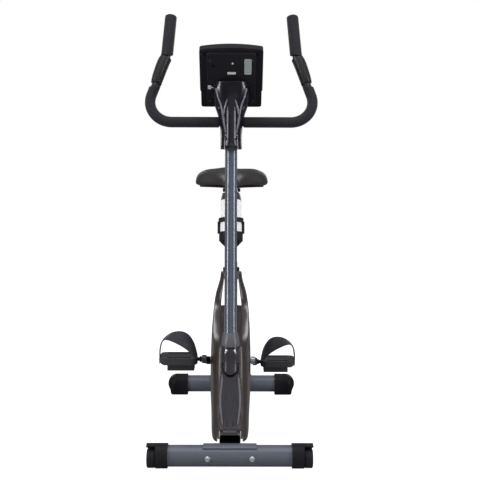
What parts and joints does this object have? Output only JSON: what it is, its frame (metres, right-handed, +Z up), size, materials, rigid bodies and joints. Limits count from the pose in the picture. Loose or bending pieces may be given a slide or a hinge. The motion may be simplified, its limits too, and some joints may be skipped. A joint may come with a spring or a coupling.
{
  "type": "exercise bike",
  "caption": "Upright magnetic exercise bike: leaning post with horned handlebar and console, narrow housed drive, cranks with strapped pedals, sliding seat, bottle and tube foot bars.",
  "frame": {"origin": "centre of the bike's overall box, on the floor", "axes": "+Z up, -Y the front with the console's back, +Y the rider's side, +X the right of the front view"},
  "size_m": [0.5467, 0.869, 1.3336],
  "materials": {
    "steel_blue": "gloss",
    "steel_grey": "gloss",
    "steel_black": "satin",
    "bright_steel": "brushed",
    "chrome_bolt": "polished",
    "iron": "matt",
    "housing_plastic": "gloss",
    "blue_grey_plastic": "gloss",
    "black_plastic": "satin",
    "cap_plastic": "satin",
    "foam": "matt",
    "belt_rubber": "matt",
    "wheel_plastic": "satin",
    "pulse_plate": "polished",
    "saddle_vinyl": "satin",
    "bottle_clear": "satin",
    "bottle_lid": "gloss",
    "white_plastic": "satin",
    "display": "gloss",
    "board_green": "satin",
    "bronze": "satin",
    "button_grey": "matt"
  },
  "bodies": {
    "frame": {"front_stabilizer": "steel_grey", "rear_stabilizer": "steel_grey", "bar_cradles": "steel_grey", "main_tube": "steel_black", "post_stub": "steel_black", "seat_tube": "steel_black", "crank_shell": "steel_black", "axle_brackets": "steel_black", "front_caps": "cap_plastic", "rear_caps": "cap_plastic", "housing_left": "housing_plastic", "housing_right": "housing_plastic", "seat_tube_cover": "housing_plastic", "spine_cover": "blue_grey_plastic", "post_boot": "blue_grey_plastic", "front_post": "steel_blue", "bar_clamp": "steel_black", "neck_cover_front": "blue_grey_plastic", "neck_cover_rear": "blue_grey_plastic", "console_back": "black_plastic", "console_front": "black_plastic", "console_window": "display", "console_board": "board_green", "bottle_cage": "black_plastic", "seat_bush": "black_plastic", "bearings": "bright_steel", "drive_belt": "belt_rubber", "cover_screws": "bright_steel", "frame_bolts": "chrome_bolt", "sensor_plug": "white_plastic"},
    "crank": {"crank_axle": "bright_steel", "crank_arm_left": "steel_black", "crank_arm_right": "steel_black", "crank_pulley": "black_plastic", "pedal_spindles": "bright_steel"},
    "pedal_left": {"pedal_left": "black_plastic", "strap_left": "belt_rubber"},
    "pedal_right": {"pedal_right": "black_plastic", "strap_right": "belt_rubber"},
    "flywheel": {"flywheel": "iron", "flywheel_axle": "bright_steel"},
    "magnet": {"magnet_bracket": "steel_black"},
    "knob": {"tension_knob": "black_plastic"},
    "handlebar": {"handlebar": "steel_black", "foam_sleeves": "foam", "hand_grips": "foam", "pulse_sensors": "pulse_plate"},
    "seat_post": {"seat_post": "bright_steel"},
    "seat_pin": {"seat_pin": "black_plastic"},
    "saddle": {"saddle_pad": "saddle_vinyl", "saddle_base": "black_plastic", "saddle_rails": "bright_steel", "saddle_clamp": "steel_black"},
    "wheel_left": {"wheel_left": "wheel_plastic"},
    "wheel_right": {"wheel_right": "wheel_plastic"},
    "bottle": {"bottle": "bottle_clear", "bottle_cap": "bottle_lid"},
    "button_mode": {"button_mode": "button_grey"},
    "button_set": {"button_set": "button_grey"},
    "button_reset": {"button_reset": "button_grey"}
  },
  "joints": [
    {"name": "handlebar_tilt", "type": "hinge", "parent": "frame", "child": "handlebar", "pos_m": [0, -0.0295, 0.98], "axis": [1, 0, 0], "range_deg": [-15, 15]},
    {"name": "seat_slide", "type": "slide", "parent": "frame", "child": "seat_post", "axis": [0, 0.309, 0.9511], "range_m": [-0.1, 0.05]},
    {"name": "saddle_tilt", "type": "hinge", "parent": "seat_post", "child": "saddle", "pos_m": [0, 0.29326, 0.7555], "axis": [1, 0, 0], "range_deg": [-8, 8]},
    {"name": "seat_pin_pull", "type": "slide", "parent": "frame", "child": "seat_pin", "axis": [0, -0.9511, 0.309], "range_m": [0, 0.01], "stiffness_N_per_m": 600, "springref_m": -0.01},
    {"name": "crank_spin", "type": "hinge", "parent": "frame", "child": "crank", "pos_m": [0, 0.0205, 0.2065], "axis": [1, 0, 0], "continuous": true},
    {"name": "pedal_left_spin", "type": "hinge", "parent": "crank", "child": "pedal_left", "pos_m": [-0.15, -0.12425, 0.24583], "axis": [1, 0, 0], "continuous": true},
    {"name": "pedal_right_spin", "type": "hinge", "parent": "crank", "child": "pedal_right", "pos_m": [0.15, 0.16525, 0.16717], "axis": [1, 0, 0], "continuous": true},
    {"name": "flywheel_spin", "type": "hinge", "parent": "frame", "child": "flywheel", "pos_m": [0, -0.1095, 0.207], "axis": [1, 0, 0], "continuous": true},
    {"name": "tension_knob_turn", "type": "hinge", "parent": "frame", "child": "knob", "pos_m": [0, -0.00547, 0.91435], "axis": [0, 0.977, -0.213], "range_deg": [0, 270]},
    {"name": "magnet_swing", "type": "hinge", "parent": "frame", "child": "magnet", "pos_m": [0, -0.0655, 0.1308], "axis": [1, 0, 0], "range_deg": [0, 2]},
    {"name": "wheel_left_spin", "type": "hinge", "parent": "frame", "child": "wheel_left", "pos_m": [-0.22, -0.3995, 0.029], "axis": [1, 0, 0], "continuous": true},
    {"name": "wheel_right_spin", "type": "hinge", "parent": "frame", "child": "wheel_right", "pos_m": [0.22, -0.3995, 0.029], "axis": [1, 0, 0], "continuous": true},
    {"name": "bottle_lift", "type": "slide", "parent": "frame", "child": "bottle", "axis": [0, 0.213, 0.977], "range_m": [0, 0.09]},
    {"name": "button_mode_press", "type": "slide", "parent": "frame", "child": "button_mode", "axis": [0, -0.8192, -0.5736], "range_m": [0, 0.0012], "stiffness_N_per_m": 300, "springref_m": -0.001},
    {"name": "button_set_press", "type": "slide", "parent": "frame", "child": "button_set", "axis": [0, -0.8192, -0.5736], "range_m": [0, 0.0012], "stiffness_N_per_m": 300, "springref_m": -0.001},
    {"name": "button_reset_press", "type": "slide", "parent": "frame", "child": "button_reset", "axis": [0, -0.8192, -0.5736], "range_m": [0, 0.0012], "stiffness_N_per_m": 300, "springref_m": -0.001}
  ],
  "couplings": [
    {"joint": "flywheel_spin", "follows": "crank_spin", "ratio": 6},
    {"joint": "magnet_swing", "follows": "tension_knob_turn", "ratio": 0.0074}
  ]
}
